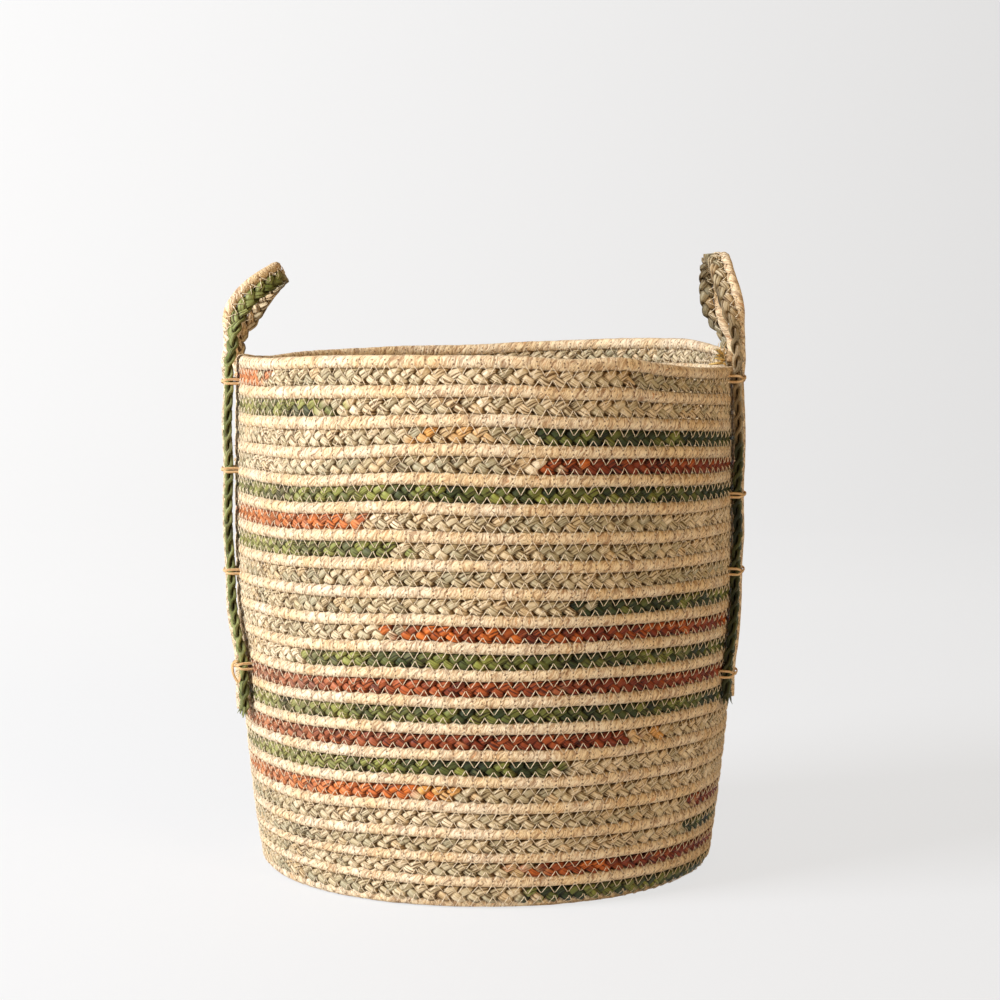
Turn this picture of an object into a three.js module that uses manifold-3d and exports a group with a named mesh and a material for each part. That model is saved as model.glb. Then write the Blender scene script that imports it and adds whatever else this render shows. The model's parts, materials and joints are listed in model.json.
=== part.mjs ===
// A round laundry basket, coiled from a plaited maize-husk braid and a twisted husk cord that lie
// side by side, with two strap handles tied to its wall. Millimetres, +Z up, origin on the floor
// under the middle of the base. The photograph looks along +Y, with the handles at -X and +X.
import * as THREE from "three";
import { mergeVertices } from "three/addons/utils/BufferGeometryUtils.js";
import Module from "manifold-3d";

// The basket's outside shape.
const basketHeight = 404; // floor to the highest point of the rim
const footRadius = 174.5; // outside, where the wall leaves the floor
const wallSwell = 20; // how far the wall widens above its foot
const swellPower = 2.9; // how early it widens
const rimTuck = 2.5; // how far it draws in again at the rim
const cornerRadius = 7; // middle of the wall, where base turns into wall
const frontLift = 9.7; // how far the rows ride up at the front
const frontLiftSpread = THREE.MathUtils.degToRad(50);
const frontLiftStart = 206; // height from which the rows start to rise, up to the rim

// The two lengths that the basket is coiled from, as they lie in a row.
const cordHeight = 8.55;
const cordThickness = 8.4;
const braidHeight = 9.89;
const braidThickness = 7;
const rowGap = 0.42; // the thread's room between two rows
const centreHole = 1.2; // left open in the middle of the base
const startHeight = 1.5; // of each length where it starts beside that hole
const rimEndAngle = 0; // where the rim's last row ends, round from +X
const rimRamp = THREE.MathUtils.degToRad(30); // the last stretch, where both thin out
const braidEndShare = 0.3; // of the braid's height left at its end
const cordEndShare = 0.6;
const spliceTurns = 10; // down from the rim's end, where new lengths of both are spliced on
const stepsPerTurn = 16;

// The handles: a narrower braid and cord sewn side by side into a strap.
const strapBraidWidth = 10;
const strapBraidThickness = 6.4;
const strapCordWidth = 7.8;
const strapCordThickness = 7.2;
const seatGap = 0.3; // clearance wherever one piece rests on another
const hingeAboveRim = 10; // where a loop starts to flex
const legStep = 13; // distance between a leg's cross-sections
const loopSteps = 26;
const archPower = 0.85; // below 1 the arch is fuller than a half sine wave
const twistShare = 0.16; // of a loop's length, over which its strap turns edge to face
const tiltPower = 1.5; // how late a loop's strap tips towards its tilt at the top

// The husk ties that go round a strap and through the wall.
const tieHeight = 2.6;
const tieThickness = 1.2;

// A leg's length is from the rim's highest point down to its cut end. Angles are in degrees. A leg's
// is from its handle's middle, and its swing is what it adds between its last two ties.
const handles = [
  {
    name: "left",
    angle: 180,
    legs: {
      rear: { angle: 12, swing: 3, length: 273 },
      front: { angle: 11.8, swing: 8.5, length: 281 },
    },
    hingeTurn: 27, // how far the strap has turned where it flexes
    rise: 52.5, // the strap's middle at the top, above the hinge
    lean: 31.5, // inwards at the top
    leanPowers: { rear: 1.8, front: 3.3 }, // how late each half leans over
    topTilt: 59, // of the strap's face
    tieDepths: [25, 97, 169, 246], // below the rim's highest point
  },
  {
    name: "right",
    angle: 0,
    legs: {
      rear: { angle: 12, swing: 2, length: 272 },
      front: { angle: 14, swing: 3.5, length: 268 },
    },
    hingeTurn: 12,
    rise: 62.5,
    lean: 11,
    leanPowers: { rear: 1.2, front: 1.2 },
    topTilt: 3,
    tieDepths: [27, 110, 170, 246],
  },
];

const colours = {
  huskCord: 0xdcc19a,
  plait: 0x8f8c5e,
  strapPlait: 0x64763c,
  strapCord: 0xd6b98e,
  tie: 0xcfa26a,
};

const fullTurn = 2 * Math.PI;
const pitch = cordHeight + braidHeight + 2 * rowGap;
const strapWidth = strapBraidWidth + rowGap + strapCordWidth;
const halfWall = cordThickness / 2;

// The wall's outside radius at a height.
function outsideRadius(z) {
  const share = Math.min(Math.max(z / basketHeight, 0), 1);
  const swell = wallSwell * (1 - (1 - share) ** swellPower);
  return footRadius + swell - rimTuck * share ** 4;
}

// The middle of the basket's thickness, as a profile from the centre of the base outwards, round the
// corner and up the wall. The wall is so nearly upright that its length is taken as its height.
const footSlope = Math.atan((wallSwell * swellPower) / basketHeight);
const cornerTurn = Math.PI / 2 - footSlope;
const wallStart = halfWall + cornerRadius * (1 - Math.cos(cornerTurn));
const flatEnd = outsideRadius(wallStart) - halfWall - cornerRadius * Math.sin(cornerTurn);
const cornerEnd = flatEnd + cornerRadius * cornerTurn;

function profile(s) {
  if (s <= flatEnd) return { radius: s, height: halfWall, turn: 0 };
  if (s <= cornerEnd) {
    const turn = (s - flatEnd) / cornerRadius;
    return {
      radius: flatEnd + cornerRadius * Math.sin(turn),
      height: halfWall + cornerRadius * (1 - Math.cos(turn)),
      turn,
    };
  }
  const height = wallStart + s - cornerEnd;
  const slope = outsideRadius(height + 0.5) - outsideRadius(height - 0.5);
  return { radius: outsideRadius(height) - halfWall, height, turn: Math.PI / 2 - Math.atan(slope) };
}

const heightToProfile = (z) => cornerEnd + z - wallStart;

function lift(angle, height) {
  const fromFront = Math.atan2(Math.cos(angle), -Math.sin(angle));
  const share = THREE.MathUtils.smoothstep(height, frontLiftStart, basketHeight);
  return frontLift * share * Math.exp(-((fromFront / frontLiftSpread) ** 2));
}

// The many-sided basket's corners lie as far outside the round one as keeps what it holds the same.
const stepAngle = fullTurn / stepsPerTurn;
const cornerShare = Math.sqrt(stepAngle / Math.sin(stepAngle));

// A point of the basket: round it, along its profile, and out of the middle of its thickness.
function basketPoint(angle, s, out) {
  const p = profile(s);
  const radius = (p.radius + out * Math.sin(p.turn)) * cornerShare;
  const height = p.height - out * Math.cos(p.turn);
  return new THREE.Vector3(
    radius * Math.cos(angle),
    radius * Math.sin(angle),
    height + lift(angle, p.height),
  );
}

// A closed solid through a list of rings that all have as many points.
function solidThrough(rings, closed = false) {
  const sides = rings[0].length;
  const index = [];
  const stretches = closed ? rings.length : rings.length - 1;
  for (let i = 0; i < stretches; i++) {
    const here = i * sides;
    const next = ((i + 1) % rings.length) * sides;
    for (let j = 0; j < sides; j++) {
      const k = (j + 1) % sides;
      index.push(here + j, next + j, next + k, here + j, next + k, here + k);
    }
  }
  if (!closed) {
    const last = (rings.length - 1) * sides;
    for (let j = 1; j < sides - 1; j++) {
      index.push(0, j, j + 1);
      index.push(last, last + j + 1, last + j);
    }
  }
  const points = rings.flat();
  if (signedVolume(points, index) < 0) index.reverse();
  return new THREE.BufferGeometry().setFromPoints(points).setIndex(index);
}

function signedVolume(points, index) {
  let volume = 0;
  for (let i = 0; i < index.length; i += 3) {
    const [a, b, c] = [points[index[i]], points[index[i + 1]], points[index[i + 2]]];
    volume += a.dot(b.clone().cross(c)) / 6;
  }
  return volume;
}

// The sections of a row, as shares of its thickness and height. Both are flat on the outside, on
// which the base stands. The braid is flat all round, and the cord has an edge to each neighbour.
const braidSection = [
  [0.5, 0.5],
  [0.5, -0.5],
  [-0.5, -0.5],
  [-0.5, 0.5],
];
const cordSection = [
  [0.5, 0.28],
  [0.5, -0.28],
  [-0.1, -0.5],
  [-0.5, 0],
  [-0.1, 0.5],
];

// Turns are counted back from the rim's end. The profile distance is that of the braid's lower edge.
const rimProfile = heightToProfile(basketHeight) - cordHeight - rowGap - braidHeight;
const rowProfile = (turnsBack) => rimProfile - pitch * turnsBack;
const rowAngle = (turnsBack) => rimEndAngle + turnsBack * fullTurn;

function endShare(turnsBack, share) {
  return THREE.MathUtils.lerp(share, 1, Math.min((turnsBack * fullTurn) / rimRamp, 1));
}

const braidRow = {
  section: braidSection,
  thickness: braidThickness,
  low: (t) => rowProfile(t),
  high: (t) => rowProfile(t) + braidHeight * endShare(t, braidEndShare),
};
const cordRow = {
  section: cordSection,
  thickness: cordThickness,
  low: (t) => braidRow.high(t) + rowGap,
  high: (t) => braidRow.high(t) + rowGap + cordHeight * endShare(t, cordEndShare),
};

// Each length starts as a thin wedge beside the hole in the middle, and widens as it winds out.
function rowRing(row, turnsBack) {
  const low = Math.max(row.low(turnsBack), centreHole);
  const high = row.high(turnsBack);
  return row.section.map(([out, along]) =>
    basketPoint(
      rowAngle(turnsBack),
      (low + high) / 2 + along * (high - low),
      out * row.thickness,
    ),
  );
}

// The rings of one row's tube from one number of turns back to another, nearer the rim.
function coilRings(row, from, to) {
  const rings = [rowRing(row, from)];
  for (let i = Math.ceil(from * stepsPerTurn - 1e-6) - 1; i > to * stepsPerTurn + 1e-6; i--) {
    rings.push(rowRing(row, i / stepsPerTurn));
  }
  rings.push(rowRing(row, to));
  return rings;
}

// The coil starts in the middle of the base. It is parted where the base's flat ends, and again
// halfway up the wall, at the splice.
const turnsAt = (s) => (rimProfile - s) / pitch;
const wallFootTurns = Math.ceil(turnsAt(flatEnd - pitch) * stepsPerTurn) / stepsPerTurn;
const partingTurns = seatGap / (fullTurn * flatEnd);
const wholeStep = (turns) => Math.floor(turns * stepsPerTurn) / stepsPerTurn;
const braidStart = centreHole + startHeight - braidHeight;
const braidStartTurns = wholeStep(turnsAt(braidStart));
const cordStartTurns = wholeStep(turnsAt(braidStart - rowGap - cordHeight));
const baseEnd = wallFootTurns + partingTurns;
const lowerEnd = spliceTurns + partingTurns;
const cordRings = {
  base: coilRings(cordRow, cordStartTurns, baseEnd),
  lower_wall: coilRings(cordRow, wallFootTurns, lowerEnd),
  upper_wall: coilRings(cordRow, spliceTurns, 0),
};
const braidRings = {
  base: coilRings(braidRow, braidStartTurns, baseEnd),
  lower_wall: coilRings(braidRow, wallFootTurns, lowerEnd),
  upper_wall: coilRings(braidRow, spliceTurns, 0),
};

// The least distance between a tube's corners and those of its own turns above and below.
function leastSelfGap(rings) {
  let least = Infinity;
  rings.forEach((ring, i) =>
    rings.slice(i + stepsPerTurn / 2).forEach((other) => {
      for (const a of ring) for (const b of other) least = Math.min(least, a.distanceTo(b));
    }),
  );
  return least;
}

// The wall is many-sided, so a flat strap rests on the corners or flats that lie under it.
function seatRadius(angle, radius, halfWidth) {
  const half = stepAngle / 2;
  const flat = radius * cornerShare * Math.cos(half);
  let seat = 0;
  for (let share = -1; share <= 1; share += 0.25) {
    const off = Math.atan2(share * halfWidth, radius);
    const round = THREE.MathUtils.euclideanModulo(angle + off - rimEndAngle, 2 * half) - half;
    seat = Math.max(seat, (flat / Math.cos(round)) * Math.cos(off));
  }
  return seat;
}

// The height of the rim's top at an angle, between 0 and a full turn on from the rim's end.
function rimHeight(angle) {
  const turnsBack = THREE.MathUtils.euclideanModulo(angle - rimEndAngle, fullTurn) / fullTurn;
  return basketPoint(angle, cordRow.high(turnsBack), 0).z;
}

// A strap's two strips as rings. A frame has the strap's middle, its way across from braid to cord,
// its way out of the face, and how much of its reach in x is left.
const strips = {
  braid: {
    width: strapBraidWidth,
    thickness: strapBraidThickness,
    across: (strapBraidWidth - strapWidth) / 2,
  },
  cord: {
    width: strapCordWidth,
    thickness: strapCordThickness,
    across: (strapWidth - strapCordWidth) / 2,
  },
};

function stripRing(strip, frame) {
  return stripSection.map(([out, along]) => {
    const point = frame.middle.clone();
    point.addScaledVector(frame.across, strip.across + along * strip.width);
    point.addScaledVector(frame.out, out * strip.thickness);
    point.x = THREE.MathUtils.lerp(frame.middle.x, point.x, frame.fullness);
    return point;
  });
}

const stripSection = [
  [0, 0.5],
  [0.5, 0.3],
  [0.5, -0.3],
  [0, -0.5],
  [-0.5, -0.3],
  [-0.5, 0.3],
];
const strapHalf = Math.max(strapBraidThickness, strapCordThickness) / 2;

// Everything of a handle is in its own group: x outwards, y round the basket, z up.
function handleFrames(handle) {
  const base = THREE.MathUtils.degToRad(handle.angle);
  const legs = Object.entries(handle.legs).map(([name, { angle, swing, length }]) => {
    const side = (name === "rear" ? 1 : -1) * Math.cos(base);
    const turned = (degrees) => side * THREE.MathUtils.degToRad(degrees);
    const ties = handle.tieDepths.map((depth, k) => {
      const last = k === handle.tieDepths.length - 1;
      return seamHeight(base + turned(last ? angle + swing : angle), basketHeight - depth);
    });
    const angleAt = (height) => {
      const low = ties.at(-1) + tieHeight;
      const high = ties.at(-2) - tieHeight;
      return turned(angle + swing * (1 - THREE.MathUtils.smoothstep(height, low, high)));
    };
    const rim = rimHeight(base + turned(angle));
    const end = basketHeight - length;
    return { name, side, ties, angleAt, rim, end, leanPower: handle.leanPowers[name] };
  });
  const hingeHeight = Math.max(...legs.map((leg) => leg.rim)) + hingeAboveRim;
  const hingeTurn = THREE.MathUtils.degToRad(handle.hingeTurn);
  const hingeReach = (strapWidth / 2) * Math.sin(hingeTurn) + strapHalf * Math.cos(hingeTurn);

  function seatedPoint(leg, height) {
    const angle = leg.angleAt(height);
    const seat = seatRadius(base + angle, outsideRadius(height), strapWidth / 2);
    const out = seat + seatGap + strapHalf;
    return new THREE.Vector3(out * Math.cos(angle), out * Math.sin(angle), height);
  }

  const hingeX = Math.max(...legs.map((leg) => seatedPoint(leg, hingeHeight).x));
  function hingePoint(leg, height) {
    return seatedPoint(leg, hingeHeight).setX(hingeX).setZ(height);
  }
  return { base, legs, hingeHeight, hingeX, hingeTurn, hingeReach, seatedPoint, hingePoint };
}

function legFrame(leg, middle, turn) {
  const across = new THREE.Vector3(Math.sin(turn), -Math.cos(turn), 0).multiplyScalar(leg.side);
  return { middle, across, out: new THREE.Vector3(Math.cos(turn), Math.sin(turn), 0), fullness: 1 };
}

function legFrames(made, leg) {
  const rimTop = leg.rim + seatGap;
  const top = made.hingeHeight - made.hingeReach - seatGap;
  const steps = Math.ceil((rimTop - leg.end) / legStep);
  const frames = [];
  for (let k = 0; k <= steps; k++) {
    const height = THREE.MathUtils.lerp(leg.end, rimTop, k / steps);
    frames.push(legFrame(leg, made.seatedPoint(leg, height), leg.angleAt(height)));
  }
  frames.push(legFrame(leg, made.hingePoint(leg, top), leg.side * made.hingeTurn));
  return frames;
}

// A loop rises from the hinge over the first leg, arches over and comes down to the second. Both
// ends are rounded about the hinge, so that they turn on the legs without touching them.
function loopFrames(made, handle) {
  const [first, second] = [...made.legs].sort((a, b) => a.side - b.side);
  const [from, to] = [first, second].map((leg) => made.hingePoint(leg, made.hingeHeight));
  const archAt = (u) => Math.sin(Math.PI * u) ** archPower;
  const point = (u) => {
    const power = THREE.MathUtils.lerp(first.leanPower, second.leanPower, u);
    return new THREE.Vector3(
      made.hingeX - handle.lean * archAt(u) ** power,
      THREE.MathUtils.lerp(from.y, to.y, (1 - Math.cos(Math.PI * u)) / 2),
      made.hingeHeight + handle.rise * archAt(u),
    );
  };
  const frames = [];
  for (let k = 0; k <= loopSteps; k++) {
    const u = (1 - Math.cos((Math.PI * k) / loopSteps)) / 2;
    const ahead = point(Math.min(u + 0.002, 1)).sub(point(Math.max(u - 0.002, 0))).normalize();
    const twisted = THREE.MathUtils.smoothstep(Math.min(u, 1 - u) / twistShare, 0, 1);
    const turn = THREE.MathUtils.lerp(made.hingeTurn, Math.PI / 2, twisted);
    const side = u < 0.5 ? 1 : -1;
    const tilt = THREE.MathUtils.degToRad(handle.topTilt) * archAt(u) ** tiltPower;
    const across = new THREE.Vector3(Math.cos(tilt), 0, Math.sin(tilt)).multiplyScalar(Math.sin(turn));
    across.y = side * Math.cos(turn);
    if (k === 0 || k === loopSteps) ahead.set(0, 0, side);
    across.addScaledVector(ahead, -across.dot(ahead)).normalize();
    const out = across.clone().cross(ahead).normalize();
    frames.push({ middle: point(u), across, out, fullness: 1 });
  }
  const rounded = (frame) => roundedEnd(frame, made.hingeReach);
  return [...rounded(frames[0]).reverse(), ...frames, ...rounded(frames.at(-1))];
}

function roundedEnd(frame, reach) {
  return [40, 75].map((degrees) => {
    const angle = THREE.MathUtils.degToRad(degrees);
    const middle = frame.middle.clone();
    middle.z -= reach * Math.sin(angle);
    return { ...frame, middle, fullness: Math.cos(angle) };
  });
}

const tieReach = strapWidth / 2 + seatGap + tieThickness / 2; // from its middle to a passage

// How much a flat of the many-sided wall falls back across a tie, from a corner at a strap's edge.
const facetDepth = 2 * tieReach * Math.sin(stepAngle / 2 - strapWidth / 2 / footRadius);

// A tie is one flat husk strand closed round strap and wall. In its own frame x is out of the wall,
// y along the strap's width and z up, with x = 0 on the outside of the wall.
function tieRings() {
  const outer = seatGap + 2 * strapHalf + seatGap + tieThickness / 2;
  const inner = -cordThickness - facetDepth - seatGap - tieThickness / 2;
  const bend = 1.6;
  const corners = [
    [outer, -tieReach],
    [outer, tieReach],
    [inner, tieReach],
    [inner, -tieReach],
  ];
  return corners.flatMap(([x, y]) => {
    const [inX, inY] = [Math.sign(x - (outer + inner) / 2), Math.sign(y)];
    const halves = [
      [x - inX * bend, y, 0, inY],
      [x, y - inY * bend, inX, 0],
    ];
    if (inX * inY > 0) halves.reverse();
    return halves.map(([px, py, nx, ny]) =>
      [
        [-1, -1],
        [1, -1],
        [1, 1],
        [-1, 1],
      ].map(([a, b]) => {
        const off = (a * tieThickness) / 2;
        return new THREE.Vector3(px + nx * off, py + ny * off, (b * tieHeight) / 2);
      }),
    );
  });
}

const tieGeometry = solidThrough(tieRings(), true);

// The room that the rows leave for each of a tie's two passages through the wall.
const tieRoom = new THREE.BoxGeometry(
  2 * cordThickness,
  tieThickness + 2 * seatGap,
  tieHeight + 2 * seatGap,
);
tieRoom.translate(-cordThickness / 2, 0, 0);

// The seam nearest a height, where a tie can pass between two rows.
function seamHeight(angle, wanted) {
  const round = THREE.MathUtils.euclideanModulo(angle - rimEndAngle, fullTurn) / fullTurn;
  let best = Infinity;
  for (let turns = round; turns < wallFootTurns; turns++) {
    for (const s of [braidRow.low(turns) - rowGap / 2, braidRow.high(turns) + rowGap / 2]) {
      const z = basketPoint(angle, s, 0).z;
      if (Math.abs(z - wanted) < Math.abs(best - wanted)) best = z;
    }
  }
  return best;
}

const paint = (color) => new THREE.MeshStandardMaterial({ color, roughness: 0.85, metalness: 0 });
const materials = Object.fromEntries(
  Object.entries(colours).map(([name, colour]) => [name, paint(colour)]),
);

function addMesh(group, name, geometry, material) {
  const mesh = new THREE.Mesh(geometry, material);
  mesh.name = name;
  group.add(mesh);
  return mesh;
}

const stripMaterials = { braid: materials.strapPlait, cord: materials.strapCord };

function makeHandle(handle) {
  const group = new THREE.Group();
  const made = handleFrames(handle);
  group.rotation.z = made.base;
  const place = `${made.hingeX.toFixed(2)} mm out and ${made.hingeHeight.toFixed(2)} mm up`;
  console.log(`${handle.name} handle's hinge: ${place}`);
  for (const [stripName, strip] of Object.entries(strips)) {
    const solid = (frames) => solidThrough(frames.map((frame) => stripRing(strip, frame)));
    const material = stripMaterials[stripName];
    addMesh(group, `${handle.name}_loop_${stripName}`, solid(loopFrames(made, handle)), material);
    for (const leg of made.legs) {
      const name = `${handle.name}_${leg.name}_leg_${stripName}`;
      addMesh(group, name, solid(legFrames(made, leg)), material);
    }
  }
  for (const leg of made.legs) {
    leg.ties.forEach((height, k) => {
      const angle = leg.angleAt(height);
      const tie = addMesh(group, `${handle.name}_${leg.name}_tie_${k + 1}`, tieGeometry, materials.tie);
      const seat = seatRadius(made.base + angle, outsideRadius(height), strapWidth / 2);
      tie.position.set(seat * Math.cos(angle), seat * Math.sin(angle), height);
      tie.rotation.z = angle;
    });
  }
  return group;
}

// The rows give way where a tie goes between them.
const wasm = await Module();
wasm.setup();

function toSolid(geometry, matrix) {
  const bare = new THREE.BufferGeometry();
  bare.setAttribute("position", geometry.getAttribute("position").clone());
  bare.setIndex(geometry.index.clone());
  if (matrix) bare.applyMatrix4(matrix);
  const merged = mergeVertices(bare, 1e-4);
  return new wasm.Manifold(
    new wasm.Mesh({
      numProp: 3,
      vertProperties: merged.getAttribute("position").array,
      triVerts: new Uint32Array(merged.index.array),
    }),
  );
}

function toGeometry(solid) {
  const mesh = solid.getMesh();
  return new THREE.BufferGeometry()
    .setAttribute("position", new THREE.BufferAttribute(mesh.vertProperties, mesh.numProp))
    .setIndex(new THREE.BufferAttribute(mesh.triVerts, 1));
}

const basket = new THREE.Group();
for (const handle of handles) basket.add(makeHandle(handle));
basket.updateMatrixWorld(true);

const tieRooms = [];
basket.traverse((o) => {
  if (o.geometry !== tieGeometry) return;
  for (const side of [-1, 1]) {
    const passage = new THREE.Matrix4().makeTranslation(0, side * tieReach, 0);
    tieRooms.push(toSolid(tieRoom, passage.premultiply(o.matrixWorld)));
  }
});
const makeWay = (rings) =>
  toGeometry(tieRooms.reduce((solid, room) => solid.subtract(room), toSolid(solidThrough(rings))));

for (const place of Object.keys(cordRings)) {
  addMesh(basket, `${place}_cord`, makeWay(cordRings[place]), materials.huskCord);
  addMesh(basket, `${place}_braid`, makeWay(braidRings[place]), materials.plait);
  const cordGap = leastSelfGap(cordRings[place]).toFixed(2);
  const braidGap = leastSelfGap(braidRings[place]).toFixed(2);
  console.log(`least gap of ${place}_cord to itself: ${cordGap} mm, of ${place}_braid: ${braidGap} mm`);
}

export default basket;
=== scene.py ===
import json
import math
import bpy
import numpy as np
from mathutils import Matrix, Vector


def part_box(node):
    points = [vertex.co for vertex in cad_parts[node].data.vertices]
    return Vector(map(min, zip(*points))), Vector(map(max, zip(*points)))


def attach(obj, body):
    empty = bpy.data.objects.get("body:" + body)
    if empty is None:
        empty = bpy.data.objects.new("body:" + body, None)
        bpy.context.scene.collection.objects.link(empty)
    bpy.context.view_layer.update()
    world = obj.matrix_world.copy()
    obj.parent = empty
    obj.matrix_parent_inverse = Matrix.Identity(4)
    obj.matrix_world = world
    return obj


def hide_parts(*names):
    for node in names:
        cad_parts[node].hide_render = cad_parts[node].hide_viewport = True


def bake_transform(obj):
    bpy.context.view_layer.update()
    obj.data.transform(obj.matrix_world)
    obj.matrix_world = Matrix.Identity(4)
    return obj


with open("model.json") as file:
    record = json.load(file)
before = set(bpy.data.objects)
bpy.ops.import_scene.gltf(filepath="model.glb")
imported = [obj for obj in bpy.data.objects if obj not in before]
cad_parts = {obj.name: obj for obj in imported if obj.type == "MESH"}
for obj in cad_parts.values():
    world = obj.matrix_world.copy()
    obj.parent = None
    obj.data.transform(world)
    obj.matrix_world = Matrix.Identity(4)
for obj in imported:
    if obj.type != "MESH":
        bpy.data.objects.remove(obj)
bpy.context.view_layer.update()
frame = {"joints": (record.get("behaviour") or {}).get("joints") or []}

# The plait of the base. The basket is one long coil: a flat plait of three strands of maize husk, dyed
# in runs, and a husk cord, wound side by side from the middle of the base outwards and up the wall.
# Here the coil's whole course is settled, and the plait is laid as far as the foot of the wall.
basket_height = 0.404
foot_radius = 0.1745
wall_swell = 0.020
swell_power = 2.9
rim_tuck = 0.0025
corner_radius = 0.007
front_lift = 0.0097
front_lift_spread = math.radians(50)
front_lift_start = 0.206
cord_height = 0.00855
cord_thickness = 0.0084
braid_height = 0.00989
braid_thickness = 0.0070
row_gap = 0.00042
centre_hole = 0.0012
start_height = 0.0015
rim_ramp = math.radians(30)  # the last stretch, where plait and cord thin out
braid_end_share = 0.3  # of the plait's height left at its end
cord_end_share = 0.6
full_turn = 2 * math.pi
pitch = cord_height + braid_height + 2 * row_gap
half_wall = cord_thickness / 2


def outside_radius(height):
    share = np.clip(height / basket_height, 0, 1)
    return foot_radius + wall_swell * (1 - (1 - share) ** swell_power) - rim_tuck * share**4


corner_turn = math.pi / 2 - math.atan(wall_swell * swell_power / basket_height)
wall_start = half_wall + corner_radius * (1 - math.cos(corner_turn))
flat_end = outside_radius(wall_start) - half_wall - corner_radius * math.sin(corner_turn)
corner_end = flat_end + corner_radius * corner_turn
rim_line = corner_end + basket_height - wall_start - cord_height - row_gap - braid_height


def smooth(value, low, high):
    share = np.clip((value - low) / (high - low), 0, 1)
    return share * share * (3 - 2 * share)


def drift(along, seed, shortest, longest):
    """An uneven hand's slow variation along a length, between about -1 and 1."""
    chance = np.random.default_rng(seed)
    waves = chance.uniform(shortest, longest, 5)
    starts = chance.uniform(0, full_turn, 5)
    return sum(np.sin(full_turn * along / w + s) for w, s in zip(waves, starts)) / 2.6


closer_at_foot = 0.0022  # how far the rows above the foot are pushed together in all
even_sag = 0.0010  # how far the rows of the wall hang below their even spacing
left_sag = 0.0052  # how much further they hang in the front's left part

# Low waves of the rim: where round it in degrees, how high, and how wide in degrees each one is.
rim_waves = [
    (15, 0.0013, 18),
    (55, 0.0018, 20),
    (95, -0.0020, 13),
    (135, -0.0030, 20),
    (158, -0.0040, 14),
    (228, 0.0012, 16),
    (288, -0.0017, 8),
    (302, 0.0024, 8),
    (330, -0.0008, 10),
]


def on_basket(angle, line, out):
    """Points at an angle round the basket, a way along its profile, and out of its wall's middle."""
    at_foot = smooth(line, 0.03, 0.12) * (1 - smooth(line, corner_end, corner_end + 0.05))
    line = line + closer_at_foot * at_foot
    turn = np.clip((line - flat_end) / corner_radius, 0, corner_turn)
    climb = np.maximum(line - corner_end, 0)
    middle = half_wall + corner_radius * (1 - np.cos(turn)) + climb
    slope = (outside_radius(middle + 0.0005) - outside_radius(middle - 0.0005)) / 0.001
    on_wall = climb > 0
    radius = np.minimum(line, flat_end) + corner_radius * np.sin(turn)
    radius = np.where(on_wall, outside_radius(middle) - half_wall, radius)
    turn = np.where(on_wall, math.pi / 2 - np.arctan(slope), turn)
    raised = smooth(middle, 0.02, 0.12)
    bulge = 0.0009 * np.sin(2 * angle + 1.1) + 0.0006 * np.sin(5 * angle + 17 * middle)
    radius = radius + out * np.sin(turn) + bulge * raised
    height = middle - out * np.cos(turn)
    wave = 0.0005 * np.sin(3 * angle + 31 * middle) + 0.0004 * np.sin(7 * angle - 55 * middle)
    height += raised * wave
    from_front = np.arctan2(np.cos(angle), -np.sin(angle))
    height += (
        front_lift
        * smooth(middle, front_lift_start, basket_height)
        * np.exp(-((from_front / front_lift_spread) ** 2))
    )
    near_rim = smooth(middle, basket_height - 0.080, basket_height - 0.010)
    to_left = smooth(-from_front, math.radians(12), math.radians(52))
    to_left = to_left * (1 - smooth(-from_front, math.radians(95), math.radians(140)))
    height -= (even_sag + left_sag * to_left) * smooth(middle, 0.008, 0.060) * (1 - near_rim)
    for at, high, wide in rim_waves:
        off = np.angle(np.exp(1j * (angle - math.radians(at))))
        height += near_rim * high * np.exp(-((off / math.radians(wide)) ** 2))
    height = np.maximum(height, 0.0001)
    return np.stack([radius * np.cos(angle), radius * np.sin(angle), height], axis=-1)


def rim_share(turns, share):
    return share + (1 - share) * np.clip(turns * full_turn / rim_ramp, 0, 1)


def braid_row(turns):
    low = rim_line - pitch * turns
    return low, low + braid_height * rim_share(turns, braid_end_share)


def cord_row(turns):
    low = braid_row(turns)[1] + row_gap
    return low, low + cord_height * rim_share(turns, cord_end_share)


# The coil is measured by the length laid since its start in the middle of the base.
first_line = centre_hole + start_height - braid_height - row_gap - cord_height
turns_back = np.linspace((rim_line - first_line) / pitch, 0, 8000)
lines = np.maximum(rim_line - pitch * turns_back, 0.003)
reach = np.hypot(*on_basket(np.zeros_like(lines), lines, np.zeros_like(lines))[:, :2].T)
steps = full_turn * reach[1:] * -np.diff(turns_back)
laid = np.concatenate([[0], np.cumsum(steps)])
coil_length = laid[-1]
steps_per_turn = 16  # of the frame's coil, whose wall starts at one of them
wall_foot_turns = math.ceil((rim_line - flat_end + pitch) / pitch * steps_per_turn) / steps_per_turn


def laid_at(turns):
    return float(np.interp(-turns, -turns_back, laid))


def on_row(row, full_height):
    """How a straight length is laid into a row of the coil: along it, across it and out of it."""

    def place(along, across, out):
        turns = np.interp(along, laid, turns_back)
        low, high = row(turns)
        low = np.maximum(low, centre_hole)
        share = np.clip((high - low) / full_height, 0.02, 1)
        return on_basket(turns * full_turn, (low + high) / 2 + across * share, out * np.sqrt(share))

    return place


def straight_tube(name, length, steps_along, sides):
    """A tube that still lies open, as a flat grid. Returns it, the way along it and the way round."""
    bpy.ops.object.select_all(action="DESELECT")
    bpy.ops.mesh.primitive_grid_add(x_subdivisions=steps_along, y_subdivisions=sides, size=1)
    tube = bpy.context.object
    tube.name = tube.data.name = name
    grid = np.empty(len(tube.data.vertices) * 3)
    tube.data.vertices.foreach_get("co", grid)
    grid = grid.reshape(-1, 3)
    return tube, (grid[:, 0] + 0.5) * length, (grid[:, 1] + 0.5) * full_turn


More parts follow.
